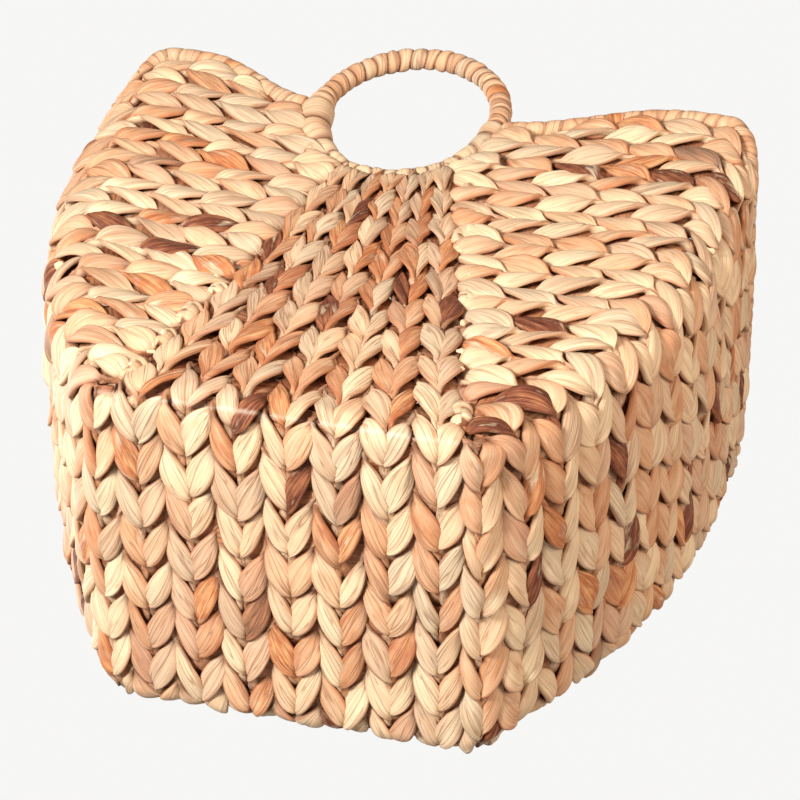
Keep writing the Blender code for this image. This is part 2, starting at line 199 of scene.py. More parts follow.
def course_edge(course, station):
    """Height of the top edge of a side course. Course 0 is the edge course along the underside."""
    near = np.clip(np.minimum(station, BACK_FAN - station), 0, SIDE_MIDDLE)
    top = rim_height(station) - 2 * BINDING_RADIUS
    full = SIDE_COURSES - 1 + ease(near / TOP_COURSE_FULL)
    if course == SIDE_COURSES:
        return top
    return EDGE_COURSE_HEIGHT + course * (top - EDGE_COURSE_HEIGHT) / full


print(f"course 6 ends {course_edge(6, 0.0):.4f} m high, and {course_edge(6, EAR_STATION):.4f} m at an ear")

# %% [markdown]
# ## A course as a strip to bend leaf onto
#
# A course is drawn straight: so far along, so far across, so far out. Its outer face on the wall is measured
# once as a grid of points with their normals, and every point of the leaf is looked up in it. Blender's Curve
# modifier can bend a piece too, but can't narrow it where the fan draws in, or lean it with the wall.

# %% Bend straight pieces onto the basket
LINES_ACROSS = 9
JUST_OVER_ONE = 1.001  # taken from a count, it keeps a place before the last row


class Strip:
    """One course's outer face as a grid that straight pieces are bent onto."""

    def __init__(self, outer, phase=0.0):
        """outer has the shape (places along, lines across, 3); phase says where the twist begins."""
        self.outer, self.phase = outer, phase
        along = np.gradient(outer, axis=0)
        across = np.gradient(outer, axis=1)
        normal = np.cross(along, across)
        self.normal = normal / np.linalg.norm(normal, axis=-1, keepdims=True)
        steps = np.linalg.norm(np.diff(outer[:, LINES_ACROSS // 2], axis=0), axis=1)
        self.along = np.concatenate(([0.0], np.cumsum(steps)))
        self.width = np.linalg.norm(outer[:, -1] - outer[:, 0], axis=1)
        self.length = self.along[-1]

    def width_at(self, along):
        return np.interp(along, self.along, self.width)

    def bend(self, along, across, out):
        """Places in the basket of straight places; out is measured from the middle of the course."""
        row = np.interp(along, self.along, np.arange(len(self.along)))
        row = np.clip(row, 0, len(self.along) - JUST_OVER_ONE)
        column = (across / self.width_at(along) + 0.5) * (LINES_ACROSS - 1)
        beyond = column - np.clip(column, 0, LINES_ACROSS - JUST_OVER_ONE)
        column = column - beyond
        i, j = row.astype(int), column.astype(int)
        u, v = (row - i)[:, None], (column - j)[:, None]

        def sample(grid):
            low = grid[i, j] * (1 - v) + grid[i, j + 1] * v
            high = grid[i + 1, j] * (1 - v) + grid[i + 1, j + 1] * v
            return low * (1 - u) + high * u

        step = sample(np.gradient(self.outer, axis=1))
        point = sample(self.outer) + step * beyond[:, None]
        return point + sample(self.normal) * (out - COURSE_THICKNESS / 2)[:, None]


share_across = np.linspace(0, 1, LINES_ACROSS)[None, :]
print(f"a strip is measured along {LINES_ACROSS} lines")

# %% [markdown]
# ## The strips of the three kinds of course
#
# A side course runs from fan to fan round its wall. A centre course comes down from the ring under one
# handle, bends under the basket and climbs to the other ring. An edge course turns from the underside up the
# foot of a side wall. The phase is different for each course, so that their V shapes don't line up.

# %% Strips
FAN_REACH = 0.04
SIDE_ROWS, EDGE_ROWS = 361, 181
WALL_ROWS, BEND_ROWS, FLOOR_ROWS = 141, 25, 61
RING_LAP, RING_ROUNDS = 0.0060, 8
EDGE_FROM, EDGE_TO, EDGE_CORNER_OUT = 1.35, 4.65, 0.0005


def side_strip(course, side):
    """The strip of a side course. It runs from the front fan round the side to the back fan."""
    start = TOP_COURSE_START if course == SIDE_COURSES else -FAN_REACH
    station = np.linspace(start, BACK_FAN - start, SIDE_ROWS)[:, None]
    low, high = course_edge(course - 1, station), course_edge(course, station)
    first, last = (low, high) if side > 0 else (high, low)
    outer = wall_plan(station + 0 * share_across, first + (last - first) * share_across, side)
    return Strip(outer, 0.3 * np.sin(2.4 * course + side))


def ring_foot(share):
    """Height at which a line of the fan meets the underside of the handle ring."""
    height = fan_top_height + 0 * share
    for _ in range(RING_ROUNDS):
        x = fan_middle(height) + fan_half_width(height) * (2 * share - 1)
        across = np.clip((x - RING_OFFSET) / (RING_HALF_WIDTH + ring_margin), -1, 1)
        height = ring_centre_height - (RING_HALF_HEIGHT + ring_margin) * np.sqrt(1 - across * across)
    return height


def centre_strip(index):
    """The strip of a centre course, from the front ring under the basket to the back ring."""
    share = (index + share_across) / CENTRE_COURSES
    foot = ring_foot(share) + RING_LAP
    wall = np.linspace(0, 1, WALL_ROWS)[:, None]
    turn = np.linspace(0, np.pi / 2, BEND_ROWS)[1:, None]
    floor = np.linspace(0, 1, FLOOR_ROWS)[1:, None]
    inner = HALF_DEPTH - BOTTOM_BEND
    rows = [
        (-HALF_DEPTH + 0 * wall, foot + (BOTTOM_BEND - foot) * wall),
        (-inner - BOTTOM_BEND * np.cos(turn), BOTTOM_BEND * (1 - np.sin(turn))),
        (-inner * (1 - floor), 0 * floor),
    ]
    y = np.concatenate([row[0] + 0 * share for row in rows])
    z = np.concatenate([row[1] + 0 * share for row in rows])
    y, z = np.concatenate([y, -y[-2::-1]]), np.concatenate([z, z[-2::-1]])
    x = fan_middle(z) + fan_half_width(z) * (2 * share - 1)
    return Strip(np.stack([x, y, z], axis=-1), 0.35 * np.sin(2.6 * index))


def edge_strip(side):
    """The strip of an edge course, which turns from the underside up the foot of a side wall."""
    station = np.linspace(EDGE_FROM, EDGE_TO, EDGE_ROWS)[:, None]
    share = share_across
    wall = wall_plan(station, EDGE_COURSE_HEIGHT + 0 * station, side)
    inner = side * (side * fan_middle(0.0) + FAN_BASE_HALF_WIDTH)
    corner = side * (base_half_width + EDGE_CORNER_OUT)
    x = inner * (1 - share) ** 2 + 2 * corner * share * (1 - share) + wall[..., 0] * share**2
    z = EDGE_COURSE_HEIGHT * share**2 + 0 * station
    y = wall[..., 1] + 0 * share
    points = np.stack([x, y, z], axis=-1)
    return Strip(points if side > 0 else points[:, ::-1])


middle_strip = centre_strip(3)
print(f"the middle course is {middle_strip.length:.3f} m long and {middle_strip.width[200]:.4f} m wide")

# %% [markdown]
# ## One strand of leaf
#
# Each rope is two strands of leaf twisted round each other. Seen from outside, a strand comes up at the
# course's border, lies over its partner as one almond-shaped lobe that leans towards the middle, and dives in
# again, so two ropes with opposite twist show a row of V shapes. A strand is one long capped rod: a cone
# operator makes it, subdivide_edges gives it rings, and each ring is put where the twist asks for it. A screw
# modifier could twist a rod, but every lobe would be the same.

# %% Rods
STRAND_SIDES = 20
RINGS_A_PITCH = 13
PITCH = 0.032


def as_mesh(name, shape):
    """A named mesh made from a bmesh, which is freed."""
    mesh = bpy.data.meshes.new(name)
    shape.to_mesh(mesh)
    shape.free()
    return mesh


def straight_rods(rings, copies, sides=STRAND_SIDES):
    """Straight capped rods of unit size, with this many rings each."""
    rod = bmesh.new()
    bmesh.ops.create_cone(rod, cap_ends=True, segments=sides, radius1=1, radius2=1, depth=1)
    long_edges = [edge for edge in rod.edges if abs(edge.verts[0].co.z - edge.verts[1].co.z) > 0.5]
    bmesh.ops.subdivide_edges(rod, edges=long_edges, cuts=rings - 2, use_grid_fill=True)
    bmesh.ops.recalc_face_normals(rod, faces=rod.faces)
    mesh = as_mesh("rod", rod)
    together = bmesh.new()
    for _ in range(copies):
        together.from_mesh(mesh)
    bpy.data.meshes.remove(mesh)
    return together


def vertex_places(mesh):
    """The mesh's vertices as rows of x, y, z."""
    points = np.empty(len(mesh.vertices) * 3, np.float32)
    mesh.vertices.foreach_get("co", points)
    return points.reshape(-1, 3).astype(float)


def rod_places(mesh, copies, rings):
    """Which rod, which ring and what angle each vertex has."""
    points = vertex_places(mesh)
    rod = np.arange(len(points)) // (len(points) // copies)
    ring = np.rint((points[:, 2] + 0.5) * (rings - 1)).astype(int)
    return rod, ring, np.arctan2(points[:, 1], points[:, 0])


print(f"a strand has {STRAND_SIDES} sides and {RINGS_A_PITCH} rings for each {PITCH} m of twist")

# %% [markdown]
# ## From a shape to a piece
#
# Every piece rides on the basket's one body and has the slot of its stuff, and one that takes the place of a
# CAD node hides it. The leaf finish reads two attributes, "leaf" and "lobe", with three numbers a vertex. A
# byte colour attribute could hold them too, but would cut them off at 0 and 1.


# %% Pieces and attributes
def add_piece(name, mesh, material, stands_for=()):
    piece = bpy.data.objects.new(name, mesh)
    bpy.context.scene.collection.objects.link(piece)
    mesh.materials.append(material)
    mesh.shade_smooth()
    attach(piece, "root")
    if stands_for:
        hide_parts(*stands_for)
    return piece


def set_attributes(mesh, leaf, lobe):
    """Keep the two sets of numbers that the leaf finish reads."""
    for name, values in (("leaf", leaf), ("lobe", lobe)):
        layer = mesh.attributes.new(name, "FLOAT_VECTOR", "POINT")
        layer.data.foreach_set("vector", np.ascontiguousarray(values, np.float32).ravel())


def place_vertices(mesh, places, leaf, lobe):
    """Move the vertices to their places and give them their attributes."""
    mesh.vertices.foreach_set("co", places.ravel())
    set_attributes(mesh, leaf, lobe)
    mesh.update()


print("pieces ride on root and carry the attributes leaf and lobe")

# %% [markdown]
# ## The twist of one strand
#
# A strand swings between its rope's border and the course's middle, and rises and falls as it does, so half
# of every turn is a lobe that shows. No two lobes of dried leaf are alike, so place, fatness, lift and roll
# are random and change with each half turn. Noise on a finished mesh could roughen it, but wouldn't make one
# lobe wide and the next one thin.

# %% The twist of one strand
LOBE_SWING_SHARE, LOBE_RISE, LOBE_LEAN = 0.190, 0.0034, 0.55
LOBE_LAG, LOBE_LINGER = 0.17 * np.pi, 0.30
LOBE_LIFT, LOBE_LIFT_SPREAD = 0.0010, 0.0009
LOBE_DRIFT, LOBE_SHIFT, LOBE_ROLL = 0.22, 0.0014, 0.38
LOBE_FATNESS, LOBE_THICKNESS = (0.76, 1.16), (0.80, 1.25)
BELLY_LAG, BELLY_POWER = 0.05 * np.pi, 0.9
LOBE_TIP_SHARE, NARROW_TIP_GROWTH, LOBE_CROWDING = 0.25, 1.8, 1.15
COURSE_WIDTH = 0.031
LEAF_HALF_THICKNESS = 0.0024
END_LENGTH, END_SINK = 0.4 * PITCH, 0.003


def wander(turns, knots, softness=1.0):
    """Random values, each held at its own whole number of turns and eased into the next."""
    turns = np.clip(turns, 0, len(knots) - JUST_OVER_ONE)
    step = turns.astype(int)
    share = ease((turns - step - 0.5) / softness + 0.5)
    if knots.ndim > 1:
        share = share[:, None]
    return knots[step] * (1 - share) + knots[step + 1] * share


def unit(vectors):
    """The same directions with length 1."""
    return vectors / np.linalg.norm(vectors, axis=1, keepdims=True)


def strand_rings(strip, rope, partner, rings, phase, fullness, dice):
    """Centre, width direction, thickness direction and half sizes of a strand's rings, drawn straight."""
    along = np.linspace(0, strip.length, rings)
    width = strip.width_at(along)
    count = int(strip.length / PITCH) + 6
    drift = dice.uniform(-LOBE_DRIFT, LOBE_DRIFT, count)
    twist = np.pi * along / PITCH + phase + partner * np.pi
    half_turns = twist / np.pi + 0.5
    twist = twist + wander(half_turns, drift) * np.pi * 0.5
    twist = twist + LOBE_LINGER * np.cos(twist)

    def vary(low, high):
        return wander(half_turns, dice.uniform(low, high, count))

    fat, thick = vary(*LOBE_FATNESS), vary(*LOBE_THICKNESS)
    lift = LOBE_LIFT + vary(-LOBE_LIFT_SPREAD, LOBE_LIFT_SPREAD)
    shift, roll = vary(-LOBE_SHIFT, LOBE_SHIFT), vary(-LOBE_ROLL, LOBE_ROLL)
    swing = LOBE_SWING_SHARE * width
    across = rope * (width / 4 + swing * np.cos(twist) + shift)
    out = LOBE_RISE * np.sin(twist - LOBE_LAG) + lift
    centre = np.stack([along, across, out], axis=1)
    tangent = unit(np.gradient(centre, axis=0))
    sideways, outwards = rope * LOBE_LEAN * LOBE_RISE * np.cos(twist), swing * np.sin(twist) + 1e-6
    broad = unit(np.cross(tangent, unit(np.stack([0 * along, sideways, outwards], axis=1))))
    thin = np.cross(broad, tangent)
    broad, thin = (
        broad * np.cos(roll)[:, None] + thin * np.sin(roll)[:, None],
        thin * np.cos(roll)[:, None] - broad * np.sin(roll)[:, None],
    )
    belly = np.abs(np.sin(twist - BELLY_LAG)) ** BELLY_POWER
    narrow = np.clip(1 - width / COURSE_WIDTH, 0, 1)
    tip = LOBE_TIP_SHARE * (1 + NARROW_TIP_GROWTH * narrow)
    half_broad = fullness * width * (1 + LOBE_CROWDING * narrow) * fat * (tip + (1 - tip) * belly)
    half_thin = LEAF_HALF_THICKNESS * thick * (0.80 + 0.20 * belly)
    half_thin = half_thin * np.minimum(1.0, 0.55 + width / 0.05)
    ends = ease(np.minimum(along, strip.length - along) / END_LENGTH)
    centre[:, 2] -= END_SINK * (1 - ends)
    taper = 0.45 + 0.55 * ends
    return centre, broad, thin, half_broad * taper, half_thin * taper, half_turns


print(f"a full course of {COURSE_WIDTH} m shows a lobe every {PITCH} m on each of its two ropes")

# %% [markdown]
# ## The mesh of one course
#
# A course is four rods, two strands in each of its two ropes. Their cross-section is a flattened round with
# creases, and about two thirds of its points lie on the face that shows. The rods are shaped while straight
# and then bent onto the strip. For the finish, "leaf" keeps a point's place round the strand, its depth under
# the crests, which the finish turns into painted shade, and its place along. "lobe" keeps three random
# numbers that change from lobe to lobe.

# %% Mesh of one course
STRANDS = 4
CREASES, CREASE_WIDTH = 3, 0.16
CREASE_SPAN, CREASE_DEPTH = (0.18, 0.82), (-0.10, 0.26)
LEAF_SQUARENESS, OUTER_BULGE, INNER_BULGE = 0.80, 1.20, 0.80
CREST, HOLLOW, MIDDLE_SINK = 0.0058, 0.0066, 0.0004


def crowd_outside(angle):
    """Angles moved so that about two thirds of them are on the face that shows."""
    return angle + 0.34 * np.cos(angle)


def squared(wave):
    """A sine or cosine with fuller shoulders, which makes a round strand flat like leaf."""
    return np.sign(wave) * np.abs(wave) ** LEAF_SQUARENESS


def course_mesh(name, strip, fullness, dice):
    """Four strands on a course's strip. fullness is half a lobe's width as a share of the strip's."""
    rings = max(8, int(strip.length / PITCH * RINGS_A_PITCH))
    rods = straight_rods(rings, STRANDS)
    # The directions broad, thin and along are left-handed, so they turn a rod inside out: turn it back.
    bmesh.ops.reverse_faces(rods, faces=rods.faces)
    mesh = as_mesh(name, rods)
    rod, ring, angle = rod_places(mesh, STRANDS, rings)
    placed, leaf, lobe = (np.empty((len(rod), 3)) for _ in range(3))
    for index in range(STRANDS):
        rope, partner = (1 if index < 2 else -1), index % 2
        start = strip.phase + dice.uniform(-0.2, 0.2)
        centre, broad, thin, half_broad, half_thin, half_turns = strand_rings(
            strip, rope, partner, rings, start, fullness, dice
        )
        mine = rod == index
        at, turn = ring[mine], crowd_outside(angle[mine])
        count = int(half_turns.max()) + 3
        reach = np.ones(len(at))
        for _ in range(CREASES):
            line = wander(half_turns[at], dice.uniform(*CREASE_SPAN, count) * np.pi, 0.5)
            depth = wander(half_turns[at], np.maximum(0, dice.uniform(*CREASE_DEPTH, count)), 0.5)
            reach = reach - depth * np.exp(-(((turn - line) / CREASE_WIDTH) ** 2))
        flat = half_broad[at] * squared(np.cos(turn))
        bulge = half_thin[at] * squared(np.sin(turn))
        bulge = bulge * np.where(np.sin(turn) > 0, OUTER_BULGE, INNER_BULGE) * reach
        straight = centre[at] + broad[at] * flat[:, None] + thin[at] * bulge[:, None]
        placed[mine] = strip.bend(*straight.T)
        place = centre[at, 0] + index + dice.uniform(0, 9)
        # The depth under the crests, which the leaf finish turns into painted shade between the lobes.
        shade_depth = np.clip((CREST - np.abs(straight[:, 2] + MIDDLE_SINK)) / HOLLOW, 0, 1)
        leaf[mine] = np.stack([np.cos(turn), shade_depth, place], axis=1)
        lobe[mine] = wander(half_turns[at] / 2 + 0.5, dice.uniform(0, 1, (count, 3)), 0.4)
    place_vertices(mesh, placed, leaf, lobe)
    return mesh


print(f"a course has {STRANDS} strands with {CREASES} creases each")

# %% [markdown]
# ## Finishes
#
# A finish is a material made of nodes. Wire wraps an output socket and turns each Python sum into Math nodes,
# and Finish adds any other node. They could be placed by hand in the Shader Editor, but a written finish is
# quickly made again with other numbers.


# %% Write shader maths as Python
class Wire:
    """An output socket that can be used in sums."""

    def __init__(self, finish, socket):
        self.finish, self.socket = finish, socket

    def _math(self, operation, first, second=0.0):
        return self.finish.node("ShaderNodeMath", {"operation": operation}, {0: first, 1: second})

    def __add__(self, other):
        return self._math("ADD", self, other)

    def __radd__(self, other):
        return self._math("ADD", other, self)

    def __sub__(self, other):
        return self._math("SUBTRACT", self, other)

    def __rsub__(self, other):
        return self._math("SUBTRACT", other, self)

    def __mul__(self, other):
        return self._math("MULTIPLY", self, other)

    def __rmul__(self, other):
        return self._math("MULTIPLY", other, self)

    def __lt__(self, other):
        return self._math("LESS_THAN", self, other)

    def limited(self):
        return self.finish.node("ShaderNodeClamp", {}, {"Value": self})

    def size(self):
        return self._math("ABSOLUTE", self)


class Finish:
    """A material and its nodes."""

    def __init__(self, name):
        self.material = bpy.data.materials.new(name)
        self.material.use_nodes = True
        self.nodes = self.material.node_tree.nodes
        self.shader = self.nodes["Principled BSDF"]

    def plug(self, socket, value):
        if isinstance(value, Wire):
            self.material.node_tree.links.new(value.socket, socket)
        else:
            socket.default_value = value

    def node(self, kind, settings, values, output=0):
        """Add a node: its settings first, then its sockets."""
        made = self.nodes.new(kind)
        for name, value in settings.items():
            if name == "stops":
                for _ in range(len(value) - 2):
                    made.color_ramp.elements.new(0.5)
                for element, (place, colour) in zip(made.color_ramp.elements, value):
                    element.position, element.color = place, (*colour, 1.0)
            else:
                setattr(made, name, value)
        for name, value in values.items():
            self.plug(made.inputs[name], value)
        return Wire(self, made.outputs[output])

    def set(self, **values):
        for name, value in values.items():
            self.plug(self.shader.inputs[name.replace("_", " ")], value)

    def attribute(self, name):
        return self.node("ShaderNodeAttribute", {"attribute_name": name}, {}, output="Vector")

    def split(self, vector):
        made = self.nodes.new("ShaderNodeSeparateXYZ")
        self.plug(made.inputs[0], vector)
        return [Wire(self, output) for output in made.outputs]

    def join(self, x, y, z):
        return self.node("ShaderNodeCombineXYZ", {}, {0: x, 1: y, 2: z})

    def noise(self, vector, scale, detail=2.0, roughness=0.5):
        values = {"Vector": vector, "Scale": scale, "Detail": detail, "Roughness": roughness}
        return self.node("ShaderNodeTexNoise", {}, values)

    def ramp(self, value, stops):
        return self.node("ShaderNodeValToRGB", {"stops": stops}, {0: value})

    def mix(self, share, first, second):
        made = self.nodes.new("ShaderNodeMix")
        made.data_type = "RGBA"
        for name, value in ((0, share), (6, first), (7, second)):
            if not isinstance(value, Wire) and name > 0:
                value = (*value, 1.0)
            self.plug(made.inputs[name], value)
        return Wire(self, made.outputs[2])

    def bump(self, height, strength, distance):
        values = {"Strength": strength, "Distance": distance, "Height": height}
        self.set(Normal=self.node("ShaderNodeBump", {}, values, "Normal"))


def above(value, start, slope):
    """0 up to the start, and then up to 1 at this slope."""
    return ((value - start) * slope).limited()


def below(value, start, slope):
    """0 down to the start, and then up to 1 at this slope."""
    return ((start - value) * slope).limited()


print("shader sums can be written as Python")

# %% [markdown]
# ## Leaf
#
# Dried water-hyacinth leaf is pale straw, with fine fibres along each strand. Most of it is cream or peach,
# some is grey, rust or dark brown, and the fan is warmer up the wall. "lobe" gives a lobe its tone, stain and
# shade. "leaf" gives the place on the straight strand, so that the fibres follow it, and the depth, from
# which shade is painted deep between the lobes. Object coordinates would run the fibres one way over every
# strand, so they only tell the height up the fan and where a highlight is painted along the bend at the foot.

# %% Leaf
LEAF_TONES = [
    (0.00, (0.90, 0.72, 0.46)),
    (0.22, (0.85, 0.63, 0.39)),
    (0.48, (0.79, 0.52, 0.31)),
    (0.68, (0.72, 0.40, 0.22)),
    (0.86, (0.62, 0.28, 0.13)),
    (1.00, (0.45, 0.15, 0.06)),
]
RUST_TONES = [(0.38, (0.22, 0.05, 0.018)), (0.52, (0.52, 0.17, 0.06)), (0.66, (0.78, 0.40, 0.18))]
BROWN_TONES = [(0.40, (0.040, 0.012, 0.008)), (0.54, (0.17, 0.045, 0.02)), (0.68, (0.46, 0.18, 0.08))]
GREY_TONES = [(0.30, (0.50, 0.37, 0.24)), (0.70, (0.72, 0.57, 0.39))]
MAUVE, DARK_FIBRE, PALE_FIBRE = (0.58, 0.36, 0.25), (0.48, 0.23, 0.11), (0.96, 0.82, 0.58)
FOLD_LINE, PAINTED_EDGE_SHADE = (0.28, 0.10, 0.04), (0.30, 0.10, 0.04)
PAINTED_SHADE, PAINTED_GLINT = (0.20, 0.065, 0.025), (0.96, 0.86, 0.70)
GLINT_BAND = 0.1235  # depth plus height, in metres, of the bend at the foot where a highlight is painted


def leaf_finish(name, warmth=0.0, fan_warmth=0.0, lines=9.0, seams=2.4, crisp=0.60):
    """Dried leaf whose tone changes from lobe to lobe. Lines and seams are counted over half its width."""
    leaf = Finish(name)
    across, shade_depth, along = leaf.split(leaf.attribute("leaf"))
    tone, stain, shade = leaf.split(leaf.attribute("lobe"))
    seed = tone * 37.0 + shade_depth * 0.4
    fibres = leaf.noise(leaf.join(across * lines, seed, along * 34.0), 1.0, 3.0, 0.62)
    veins = leaf.noise(leaf.join(across * seams, seed, along * 16.0), 1.0, 1.5, 0.5)
    blotches = leaf.noise(leaf.join(across * 1.1, seed, along * 42.0), 1.0, 3.0, 0.6)
    fold = (1.0 - (veins - 0.5).size() * 30.0).limited()
    # rim marks the strand's edges, where it turns under its partner, and shade is painted there as a dark
    # line.
    rim = above(across.size(), 0.84, 6.0)
    side = above(across.size(), 0.50, 2.2)
    _, depth, height = leaf.split(leaf.node("ShaderNodeTexCoord", {}, {}, "Object"))
    # A highlight painted as a pale band along the bend at the foot, broken up by the blotches, where light
    # would glint on the fold.
    band = (depth.size() + height + veins * 0.004 - GLINT_BAND).size()
    foot = (1.0 - band * 330.0).limited() * (height < 0.012)
    foot = foot * above(blotches + shade * 0.5, 0.52, 4.0)
    up_fan = above(height, 0.02, 8.0) * fan_warmth
    base = leaf.ramp(tone * 0.66 + blotches * 0.80 - 0.24 + warmth + up_fan + side * 0.12, LEAF_TONES)
    rust = leaf.ramp(blotches * 0.6 + fibres * 0.5, RUST_TONES)
    brown = leaf.ramp(blotches * 0.6 + fibres * 0.5, BROWN_TONES)
    grey = leaf.ramp(fibres, GREY_TONES)
    patch = (blotches - 0.42) * 6.0
    base = leaf.mix(above(shade, 0.66, 6.0) * 0.62, base, grey)
    base = leaf.mix(below(shade, 0.20, 8.0) * 0.40, base, MAUVE)
    base = leaf.mix(below(fibres, 0.50, 4.0) * 0.55, base, DARK_FIBRE)
    base = leaf.mix(above(fibres, 0.54, 6.0) * 0.30, base, PALE_FIBRE)
    base = leaf.mix(above(stain + up_fan * 0.4, 0.91, 20.0) * (patch + 0.8).limited(), base, rust)
    base = leaf.mix(below(stain, 0.052, 80.0) * (patch + 1.0).limited(), base, brown)
    base = leaf.mix(fold * crisp, base, FOLD_LINE)
    base = leaf.mix(rim * 0.55, base, PAINTED_EDGE_SHADE)
    # Painted shade: leaf deep under the crests, in the seams of wound leaf and on the stakes is darkened
    # where shade would fall.
    base = leaf.mix(above(shade_depth, 0.24, 2.0) * 0.85, base, PAINTED_SHADE)
    base = leaf.mix(foot * 0.28, base, PAINTED_GLINT)
    leaf.set(Base_Color=base, Roughness=0.54 + fibres * 0.24 - foot * 0.06)
    leaf.shader.inputs["Specular IOR Level"].default_value = 0.30
    leaf.bump(fibres * 0.45 + veins * 0.7 - fold * crisp * 0.5, 0.75, 0.0012)
    return leaf.material


course_leaf = leaf_finish("course_leaf", crisp=0.38)
centre_leaf = leaf_finish("centre_leaf", 0.03, 0.13)
print("the leaf of the side courses and the warmer leaf of the centre courses are ready")

# %% [markdown]
# ## The side courses
#
# Twelve courses a side, with the fullest lobes of the basket. Each is made straight and bent onto its strip,
# and stands for its CAD bar. Each has its own numbered dice, so a change to one leaves the others alone.

# %% Make the side courses
SIDES = ((-1, "left"), (1, "right"))
SIDE_FULLNESS = 0.312


def add_course(name, stands_for, strip, fullness, material, seed):
    """Make one course with its own numbered dice and put it in the scene."""
    mesh = course_mesh(name, strip, fullness, np.random.default_rng(seed))
    add_piece(name, mesh, material, [stands_for])


for side, label in SIDES:
    for course in range(1, SIDE_COURSES + 1):
        name, seed = f"{label}_course_{course:02d}", 100 * (side + 2) + course
        add_course(f"{name}_leaf", name, side_strip(course, side), SIDE_FULLNESS, course_leaf, seed)
print(f"{2 * SIDE_COURSES} side courses")

# %% [markdown]
# ## The centre courses and the edge courses
#
# The seven centre courses lie close together under the basket, so their lobes are slimmer. One edge course a
# side fills the fold between the underside and the side wall. The same function makes them all.

# %% Make the centre and edge courses
CENTRE_FULLNESS, EDGE_FULLNESS = 0.262, 0.275

for index in range(CENTRE_COURSES):
    name, node = f"centre_course_{index + 1}_leaf", f"centre_braid_{index + 1}"
    add_course(name, node, centre_strip(index), CENTRE_FULLNESS, centre_leaf, 500 + index)

for side, label in SIDES:
    name, node = f"{label}_edge_course_leaf", f"{label}_edge_braid"
    add_course(name, node, edge_strip(side), EDGE_FULLNESS, course_leaf, 600 + side)
print(f"{CENTRE_COURSES} centre courses and {len(SIDES)} edge courses")

# %% [markdown]
# ## Wound pieces
#
# A leaf strip is wound round each ring handle and round the rim, and each turn bulges between two seams. A
# flat ribbon could be wound for it with many more faces. Here a rod gets its turns from a rise that runs
# round it like a screw thread.

# %% Rods with turns
RINGS_A_TURN, WOUND_SIDES = 11, 26
SEAM_WAVER = 0.08
TURN_THICKNESS, TURN_STAIN, TURN_SHADE = (0.7, 1.3), (0.2, 0.8), (0.1, 0.85)
WRAP_TONES = (0.35, 0.62)


def wall_line(station, height, side, depth):
    """Places under the outer face of a side wall."""
    station_step, height_step = 1e-3, 1e-4
    height = height + 0 * station
    centre = wall_plan(station, height, side)
    along = wall_plan(station + station_step, height, side) - wall_plan(station - station_step, height, side)
    up = wall_plan(station, height + height_step, side) - wall_plan(station, height - height_step, side)
    normal = np.cross(along, up) * side
    return centre - depth * normal / np.linalg.norm(normal, axis=1, keepdims=True)


def lengths_along(points):
    """Distance along the path at each of its points."""
    return np.concatenate(([0], np.cumsum(np.linalg.norm(np.diff(points, axis=0), axis=1))))


def evenly(points, count):
    """The path through the points, with this many points at even distances, and its length."""
    lengths = lengths_along(points)
    even = np.linspace(0, lengths[-1], count)
    return np.stack([np.interp(even, lengths, points[:, axis]) for axis in range(3)], axis=1), lengths[-1]


def wound_mesh(
    name, path, outward, widths, radii, bulge, slant, dice, tones=WRAP_TONES, rusty=(), seam_shade=1.0
):
    """A rod wound with leaf. Each turn has its width and radius; slant is 1 for a screw thread."""
    turns = len(widths)
    rings = turns * RINGS_A_TURN
    path, length = evenly(path, rings)
    edges = np.concatenate(([0.0], np.cumsum(widths)))
    edges = edges / edges[-1] * length
    tangent = unit(np.gradient(path, axis=0))
    outward = np.asarray(outward) + 0 * path
    outward = unit(outward - tangent * np.sum(outward * tangent, axis=1, keepdims=True))
    sideways = np.cross(tangent, outward)
    mesh = as_mesh(name, straight_rods(rings, 1, WOUND_SIDES))
    _, ring, angle = rod_places(mesh, 1, rings)
    along = ring / (rings - 1) * length
    width = length / turns
    waver = SEAM_WAVER * width * np.sin(2 * angle + 3 * along / width)
    lean = along + slant * width * angle / (2 * np.pi) + waver
    turn = np.clip(np.searchsorted(edges, lean) - 1, 0, turns - 1)
    share = np.clip((lean - edges[turn]) / (edges[turn + 1] - edges[turn]), 0, 1)
    thick = dice.uniform(*TURN_THICKNESS, turns)[turn]
    lap = np.sin(np.pi * share) ** 0.35 * (1.15 - 0.35 * share)
    base = np.interp(along, (edges[1:] + edges[:-1]) / 2, np.broadcast_to(radii, turns))
    reach = base + bulge * thick * (lap - 0.5)
    ends = np.clip(np.minimum(along, length - along) / (0.4 * width), 0, 1)
    reach = reach * (0.5 + 0.5 * np.sqrt(ends))
    round_it = np.cos(angle)[:, None] * outward[ring] + np.sin(angle)[:, None] * sideways[ring]
    wound_place = (angle + 2 * np.pi * turn) * np.mean(radii)
    # The second number is a depth, high in the seams between turns, which the finish turns into painted
    # shade; seam_shade sets how much.
    leaf = np.stack([2 * share - 1, seam_shade * np.clip(1.05 - lap, 0, 1), wound_place], axis=1)
    low, high = zip(tones, TURN_STAIN, TURN_SHADE)
    tone = dice.uniform(low, high, (turns, 3))
    for spot in rusty:
        tone[int(spot * turns), 1] = 1.0
    place_vertices(mesh, path[ring] + reach[:, None] * round_it, leaf, tone[turn])
    shape = bmesh.new()
    shape.from_mesh(mesh)
    bmesh.ops.recalc_face_normals(shape, faces=shape.faces)
    shape.to_mesh(mesh)
    shape.free()
    return mesh


wrap_leaf = leaf_finish("wrap_leaf", 0.13, lines=3.5, seams=0.7)
print(f"a turn of leaf has {RINGS_A_TURN} rings of {WOUND_SIDES} points, and the wound leaf finish is ready")

